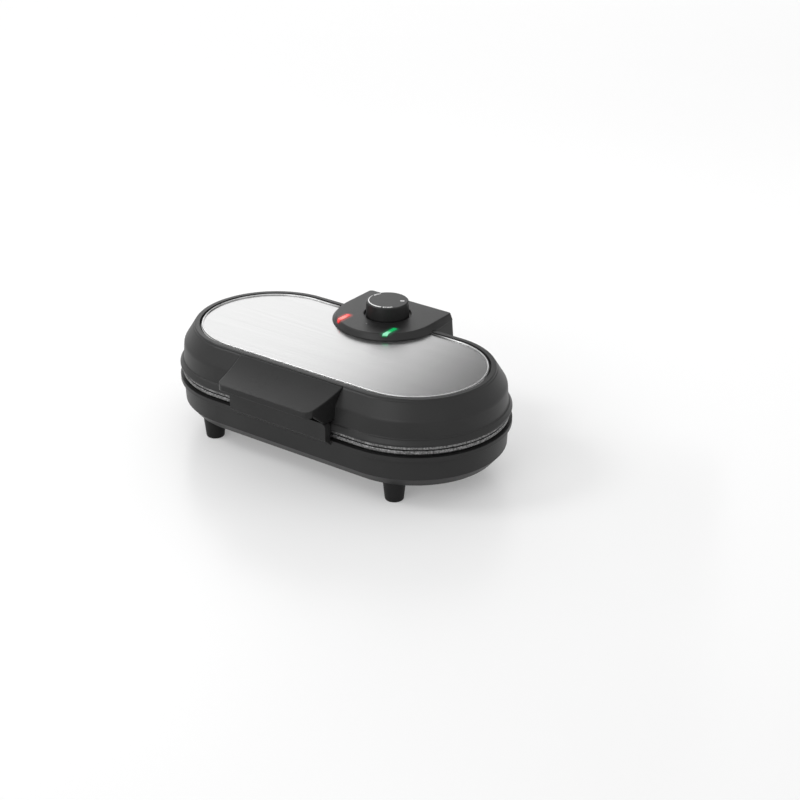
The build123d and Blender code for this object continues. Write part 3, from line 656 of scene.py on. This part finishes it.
class StageSettings(bpy.types.PropertyGroup):
    """Size of the floor, and the place, angles and lens of the camera."""

    floor_size: bpy.props.FloatProperty(
        name="Floor size",
        description="Length of the floor's sides",
        default=14.0,
        unit="LENGTH",
    )
    camera_place: bpy.props.FloatVectorProperty(
        name="Camera place",
        description="Where the camera stands",
        default=(1.1072, -1.3936, 0.9035),
        subtype="TRANSLATION",
        unit="LENGTH",
    )
    camera_azimuth: bpy.props.FloatProperty(
        name="Camera azimuth",
        description="Turn of the camera round the machine, from straight in front",
        default=0.63806,
        subtype="ANGLE",
    )
    camera_elevation: bpy.props.FloatProperty(
        name="Camera elevation",
        description="Rise of the camera above the horizon",
        default=0.44838,
        subtype="ANGLE",
    )
    focal_length: bpy.props.FloatProperty(
        name="Focal length",
        description="Focal length of the lens in millimetres",
        default=90.0,
        min=1.0,
    )


# Panel bead and dial marks

def new_piece(name, builder, material, body):
    """Makes a mesh piece from a bmesh and hangs it on a body."""
    mesh = bpy.data.meshes.new(name)
    builder.to_mesh(mesh)
    builder.free()
    piece = bpy.data.objects.new(name, mesh)
    bpy.context.scene.collection.objects.link(piece)
    wear(piece, material)
    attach(piece, body)
    return piece


def panel_bead(panel):
    """A round bead along the panel's edge, from one side of the control housing to the other."""
    low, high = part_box("steel_panel")
    middle = (low + high) / 2
    half = high.y - middle.y
    straight = high.x - middle.x - half
    reach = half - panel.bead_inset
    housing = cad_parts["control_housing"].data.vertices
    clear = max(vert.co.x for vert in housing if vert.co.z > high.z) + panel.bead_gap
    height = high.z + panel.bead_rise
    builder = bmesh.new()
    where = Matrix.Translation((0, middle.y - reach, height)) @ Matrix.Rotation(pi / 2, 4, "Y")
    bmesh.ops.create_circle(builder, segments=BEAD_SIDES, radius=panel.bead_radius, matrix=where)
    ring = drawn(builder, list(builder.edges), (straight, 0, 0))
    centre = (straight, middle.y, height)
    turned = bmesh.ops.spin(
        builder, geom=ring, cent=centre, axis=(0, 0, 1), angle=pi, steps=SWEEP_STEPS
    )
    last = [item for item in turned["geom_last"] if isinstance(item, bmesh.types.BMEdge)]
    drawn(builder, last, (clear - straight, 0, 0))
    whole = builder.verts[:] + builder.edges[:] + builder.faces[:]
    bmesh.ops.mirror(builder, geom=whole, axis="X", merge_dist=MERGE)
    bmesh.ops.remove_doubles(builder, verts=builder.verts[:], dist=MERGE)
    bmesh.ops.holes_fill(builder, edges=[edge for edge in builder.edges if edge.is_boundary])
    bmesh.ops.recalc_face_normals(builder, faces=builder.faces[:])
    return builder


def drawn(builder, edges, way):
    """Draws a ring of edges along a way, and returns the moved ring."""
    made = bmesh.ops.extrude_edge_only(builder, edges=edges)["geom"]
    moved = [item for item in made if isinstance(item, bmesh.types.BMVert)]
    bmesh.ops.translate(builder, vec=way, verts=moved)
    edges = [item for item in made if isinstance(item, bmesh.types.BMEdge)]
    return moved + [edge for edge in edges if set(edge.verts) <= set(moved)]


def on_knob(radius, turn):
    """A point on the knob's face, by its radius and its angle from +X."""
    return Vector((KNOB_AXIS.x + radius * cos(turn), KNOB_AXIS.y + radius * sin(turn), KNOB_TOP))


def raise_ink(builder, ink):
    """Gives a flat film of ink its thickness."""
    grown = bmesh.ops.extrude_face_region(builder, geom=list(builder.faces))
    upper = [item for item in grown["geom"] if isinstance(item, bmesh.types.BMVert)]
    bmesh.ops.translate(builder, vec=(0, 0, ink), verts=upper)
    bmesh.ops.recalc_face_normals(builder, faces=list(builder.faces))


def widening_arc(settings):
    """The arc on the knob that widens from the low setting to the high one."""
    builder = bmesh.new()
    ends = [
        builder.verts.new(on_knob(settings.arc_radius, settings.arc_start)),
        builder.verts.new(on_knob(settings.arc_radius - settings.arc_wide, settings.arc_start)),
    ]
    edge = builder.edges.new(ends)
    sweep = settings.arc_end - settings.arc_start
    geom = ends + [edge]
    bmesh.ops.spin(
        builder, geom=geom, cent=KNOB_AXIS, axis=(0, 0, 1), angle=sweep, steps=SWEEP_STEPS
    )
    for vert in builder.verts:
        arm = vert.co - KNOB_AXIS
        if arm.xy.length < settings.arc_radius - settings.arc_wide / 2:
            turn = atan2(arm.y, arm.x) % (2 * pi)
            share = (turn - settings.arc_start) / sweep
            width = settings.arc_narrow + share * (settings.arc_wide - settings.arc_narrow)
            vert.co = on_knob(settings.arc_radius - width, turn)
    raise_ink(builder, settings.ink)
    return builder


def dot(place, radius, ink):
    """A round dot of ink."""
    builder = bmesh.new()
    where = Matrix.Translation(place)
    bmesh.ops.create_circle(
        builder, cap_ends=True, segments=DOT_SIDES, radius=radius, matrix=where
    )
    raise_ink(builder, ink)
    return builder


def letter(sign, size):
    """The mesh of one letter or figure, centred on the origin."""
    curve = bpy.data.curves.new("letter", "FONT")
    curve.body = sign
    curve.size = size
    curve.align_x = "CENTER"
    curve.align_y = "CENTER"
    curve.offset = LETTER_WEIGHT * size
    made = bpy.data.objects.new("letter", curve)
    mesh = bpy.data.meshes.new_from_object(made)
    bpy.data.objects.remove(made)
    bpy.data.curves.remove(curve)
    return mesh


def word(signs, size, radius, first, pitch, ink):
    """Letters set round the knob with their heads towards its middle."""
    builder = bmesh.new()
    for index, sign in enumerate(signs):
        turn = first + index * pitch
        mesh = letter(sign, size)
        place = Matrix.Translation(on_knob(radius, turn))
        mesh.transform(place @ Matrix.Rotation(turn + pi / 2, 4, "Z"))
        builder.from_mesh(mesh)
        bpy.data.meshes.remove(mesh)
    bmesh.ops.remove_doubles(builder, verts=list(builder.verts), dist=MERGE)
    raise_ink(builder, ink)
    return builder


class PANCAKE_OT_bead(bpy.types.Operator):
    """Run the bright bead round the steel panel"""

    bl_idname = "pancake.bead"
    bl_label = "Bead"

    def execute(self, context):
        builder = panel_bead(context.scene.pancake_panel)
        for face in builder.faces:
            face.smooth = True
        steel = plain_metal("bead_steel", 0.6, 0.3)
        new_piece("panel_bead", builder, steel, "lid")
        return {"FINISHED"}


class PANCAKE_OT_dial(bpy.types.Operator):
    """Print the arc, the words, the nought and the dots on the knob"""

    bl_idname = "pancake.dial"
    bl_label = "Dial"

    def execute(self, context):
        settings = context.scene.pancake_dial
        ink, radius = settings.ink, settings.letter_radius
        size, round_dot = settings.letter_size, settings.dot_radius
        white = dial_ink("dial_ink", 0.84)
        marks = {
            "dial_arc": widening_arc(settings),
            "dial_low_dot": dot(on_knob(radius, LOW_DOT_TURN), round_dot, ink),
            "dial_low_word": word("MIN", size, radius, LOW_WORD_TURN, LOW_PITCH, ink),
            "dial_high_dot": dot(on_knob(radius, HIGH_DOT_TURN), round_dot, ink),
            "dial_high_word": word("MAX", size, radius, HIGH_WORD_TURN, HIGH_PITCH, ink),
            "dial_nought": word("0", settings.nought_size, NOUGHT_RADIUS, NOUGHT_TURN, 0.0, ink),
        }
        for name, builder in marks.items():
            new_piece(name, builder, white, "knob")
        return {"FINISHED"}


class PANCAKE_OT_index(bpy.types.Operator):
    """Put the index dot and its pointer on the housing in front of the knob"""

    bl_idname = "pancake.index"
    bl_label = "Index"

    def execute(self, context):
        settings = context.scene.pancake_dial
        place = Vector((INDEX_X, KNOB_AXIS.y - settings.index_reach, HOUSING_TOP))
        dark = rubbery("index_ink", 0.006)
        new_piece("index_dot", dot(place, INDEX_DOT, settings.ink), dark, "lid")
        builder = bmesh.new()
        beside = Matrix.Translation(place - Vector((POINTER_STEP, 0, 0)))
        where = beside @ Matrix.Rotation(pi / 2, 4, "Z")
        bmesh.ops.create_circle(
            builder, cap_ends=True, segments=3, radius=POINTER_SIZE, matrix=where
        )
        raise_ink(builder, settings.ink)
        pale = dial_ink("pointer_ink", 0.3)
        new_piece("index_pointer", builder, pale, "lid")
        return {"FINISHED"}


class PANCAKE_OT_mouldings(bpy.types.Operator):
    """Give the black mouldings their grain"""

    bl_idname = "pancake.mouldings"
    bl_label = "Mouldings"

    def execute(self, context):
        settings = context.scene.pancake_mouldings
        rough, grain = settings.roughness, settings.grain
        satin = rough * HANDLE_ROUGH
        shell, trim = settings.shell_tone, settings.trim_tone
        dull, glossy = settings.shell_sheen, settings.trim_sheen
        crisp, soft = settings.shell_edge, settings.trim_edge
        made = {
            "base_shell": moulded("base_moulding", shell, rough, dull, grain, crisp),
            "lid_shell": moulded("lid_moulding", shell, rough, dull, grain, crisp),
            "handle": moulded("handle_moulding", trim, satin, dull, grain, soft),
            "control_housing": moulded("housing_moulding", trim, rough, glossy, grain, soft),
            "knob": moulded("knob_moulding", trim, rough, glossy, grain, crisp),
        }
        line_under_rim(made["lid_shell"], settings)
        lenses = [(RED_SPILL, *bar("red_lens")), (GREEN_SPILL, *bar("green_lens"))]
        spill(made["control_housing"], lenses)
        for name, surface in made.items():
            wear(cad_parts[name], surface.material)
        rubber = rubbery("foot_rubber", 0.012)
        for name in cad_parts:
            if name.startswith("foot_") and name != "foot_screws" or name == "cord_inlet_bush":
                wear(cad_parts[name], rubber)
        return {"FINISHED"}


class PANCAKE_OT_metalwork(bpy.types.Operator):
    """Finish the steel panel, the cooking plates and the metal parts inside"""

    bl_idname = "pancake.metalwork"
    bl_label = "Metalwork"

    def execute(self, context):
        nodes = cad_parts
        panel = context.scene.pancake_panel
        wear(nodes["steel_panel"], brushed_steel(panel.steel_tone, panel.rolled_edge))
        sheath = plain_metal("heater_sheath", 0.3, 0.4, 0.04)
        sheet = plain_metal("bright_sheet", 0.72, 0.3)
        zinc = plain_metal("zinc_plate", 0.6, 0.32, 0.03)
        rod = plain_metal("ground_rod", 0.55, 0.22)
        for side in ("lower", "upper"):
            plate = f"{side}_cooking_plate"
            wear(nodes[plate], cast_nonstick(f"{side}_coating", *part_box(plate)))
            wear(nodes[f"{side}_heating_element"], sheath)
            wear(nodes[f"{side}_heat_shield"], sheet)
            wear(nodes[f"{side}_plate_screws"], zinc)
        for name in ("foot_screws", "handle_screws", "housing_screws", "tail_screws"):
            wear(nodes[name], zinc)
        for name in ("hinge_pin", "thermostat_spindle"):
            wear(nodes[name], rod)
        wear(nodes["thermostat_bracket"], sheet)
        return {"FINISHED"}


class PANCAKE_OT_electrics(bpy.types.Operator):
    """Finish the lenses, lamps, thermostat, fuse and terminal block"""

    bl_idname = "pancake.electrics"
    bl_label = "Electrics"

    def execute(self, context):
        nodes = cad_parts
        red_middle, red_half = bar("red_lens")
        green_middle, green_half = bar("green_lens")
        green_front = green_middle - Vector((0, GREEN_FORWARD * green_half, 0))
        red = lit_lens("red_lens", RED, RED_CORE, red_middle, red_half)
        green = lit_lens("green_lens", GREEN, GREEN_CORE, green_front, green_half)
        wear(nodes["red_lens"], red)
        wear(nodes["green_lens"], green)
        glass = lamp_glass()
        for name in ("red_lamp", "green_lamp"):
            wear(nodes[name], glass)
        ceramic = glazed("switch_ceramic", 0.72, 0.04)
        for name in ("thermostat", "thermal_fuse"):
            wear(nodes[name], ceramic)
        wear(nodes["terminal_block"], glazed("terminal_moulding", 0.66, 0.08))
        return {"FINISHED"}


class PANCAKE_OT_stage(bpy.types.Operator):
    """Set the floor, the reflected card, the pale surround, the soft lamps and the camera"""

    bl_idname = "pancake.stage"
    bl_label = "Stage"

    def execute(self, context):
        settings = context.scene.pancake_stage
        self.floor(settings.floor_size)
        self.grey_card()
        self.surround(context)
        for name, (place, aim, size, power) in LAMPS.items():
            self.lamp(name, place, aim, size, power)
        self.camera(context, settings)
        return {"FINISHED"}

    def floor(self, size):
        """A pale, faintly glossy floor that keeps the machine's shadow."""
        surface = Surface("pale_floor")
        broad = surface.noise(3.0, 2.0)
        surface.set(
            Base_Color=surface.mix(broad, grey(0.94), grey(0.96)),
            Roughness=broad * 0.02 + 0.24,
            Specular_IOR_Level=0.2,
        )
        surface.whiten(FLOOR_WHITE)
        builder = bmesh.new()
        bmesh.ops.create_grid(builder, x_segments=1, y_segments=1, size=size / 2)
        self.stand("floor", builder, surface)

    def grey_card(self):
        """A card behind the machine, graded from pale to dark, that shows only in reflections."""
        surface = Surface("grey_card")
        across, _, height = surface.offset((0.0, 0.0, 0.0))
        fade = (height * CARD_LEAN + across).smooth(*CARD_FADE)
        surface.set(
            Base_Color=grey(0.0),
            Specular_IOR_Level=0.0,
            Emission_Color=surface.mix(fade, grey(CARD_PALE), grey(0.0)),
            Emission_Strength=1.0,
        )
        builder = bmesh.new()
        bmesh.ops.create_grid(builder, x_segments=1, y_segments=1, size=0.5)
        bmesh.ops.scale(builder, vec=CARD_SIZE, verts=builder.verts)
        place = Matrix.Translation(CARD_PLACE) @ Matrix.Rotation(pi / 2, 4, "X")
        bmesh.ops.transform(builder, matrix=place, verts=builder.verts)
        card = self.stand("grey_card", builder, surface)
        card.visible_camera = False
        card.visible_diffuse = False
        card.visible_shadow = False
        card.visible_transmission = False

    def stand(self, name, builder, surface):
        """Puts a part of the stage in place."""
        mesh = bpy.data.meshes.new(name)
        builder.to_mesh(mesh)
        builder.free()
        made = bpy.data.objects.new(name, mesh)
        bpy.context.scene.collection.objects.link(made)
        wear(made, surface.material)
        return made

    def surround(self, context):
        """A pale world: white to the camera and in reflections, softer as light."""
        world = bpy.data.worlds.new("pale_surround")
        context.scene.world = world
        graph = Graph(world)
        strength = graph.seen() * (1 - WORLD_LIGHT) + WORLD_LIGHT
        sockets = {"Color": grey(1.0), "Strength": strength}
        white = graph.node("ShaderNodeBackground", None, sockets)
        graph.node("ShaderNodeOutputWorld", None, {"Surface": Field(graph, white.outputs[0])})

    def lamp(self, name, place, aim, size, power):
        """A soft rectangular lamp that faces a point."""
        data = bpy.data.lights.new(name, "AREA")
        data.shape = "RECTANGLE"
        data.size, data.size_y = size
        data.energy = power
        lamp = bpy.data.objects.new(name, data)
        bpy.context.scene.collection.objects.link(lamp)
        lamp.location = place
        facing = Vector(aim) - Vector(place)
        lamp.rotation_mode = "QUATERNION"
        lamp.rotation_quaternion = facing.to_track_quat("-Z", "Y")

    def camera(self, context, settings):
        """The camera at the photograph's viewing angle."""
        data = bpy.data.cameras.new("camera")
        data.lens = settings.focal_length
        data.sensor_width = 36.0
        data.clip_end = 100.0
        camera = bpy.data.objects.new("camera", data)
        bpy.context.scene.collection.objects.link(camera)
        azimuth, elevation = settings.camera_azimuth, settings.camera_elevation
        flat = cos(elevation)
        back = Vector((sin(azimuth) * flat, -cos(azimuth) * flat, sin(elevation)))
        camera.location = settings.camera_place
        camera.rotation_mode = "QUATERNION"
        camera.rotation_quaternion = (-back).to_track_quat("-Z", "Y")
        context.scene.camera = camera
        context.scene.view_settings.view_transform = "Standard"


OPERATORS = (
    PANCAKE_OT_mouldings,
    PANCAKE_OT_metalwork,
    PANCAKE_OT_electrics,
    PANCAKE_OT_bead,
    PANCAKE_OT_dial,
    PANCAKE_OT_index,
    PANCAKE_OT_stage,
)


class PANCAKE_PT_sidebar(bpy.types.Panel):
    """The pieces of the pancake maker, in the order in which they are made"""

    bl_idname = "PANCAKE_PT_sidebar"
    bl_label = "Pancake Maker"
    bl_space_type = "VIEW_3D"
    bl_region_type = "UI"
    bl_category = "Pancake Maker"

    def draw(self, context):
        for operator in OPERATORS:
            self.layout.operator(operator.bl_idname)


GROUPS = {
    "pancake_mouldings": MouldingSettings,
    "pancake_panel": PanelSettings,
    "pancake_dial": DialSettings,
    "pancake_stage": StageSettings,
}


def register():
    """Registers the settings, the operators and the panel."""
    for name, group in GROUPS.items():
        bpy.utils.register_class(group)
        setattr(bpy.types.Scene, name, bpy.props.PointerProperty(type=group))
    for made in OPERATORS + (PANCAKE_PT_sidebar,):
        bpy.utils.register_class(made)


def unregister():
    """Takes back what register did."""
    for made in reversed(OPERATORS + (PANCAKE_PT_sidebar,)):
        bpy.utils.unregister_class(made)
    for name, group in reversed(GROUPS.items()):
        delattr(bpy.types.Scene, name)
        bpy.utils.unregister_class(group)


def main():
    """Makes every piece in order."""
    register()
    for operator in OPERATORS:
        group, name = operator.bl_idname.split(".")
        getattr(getattr(bpy.ops, group), name)()


if __name__ == "__main__":
    main()
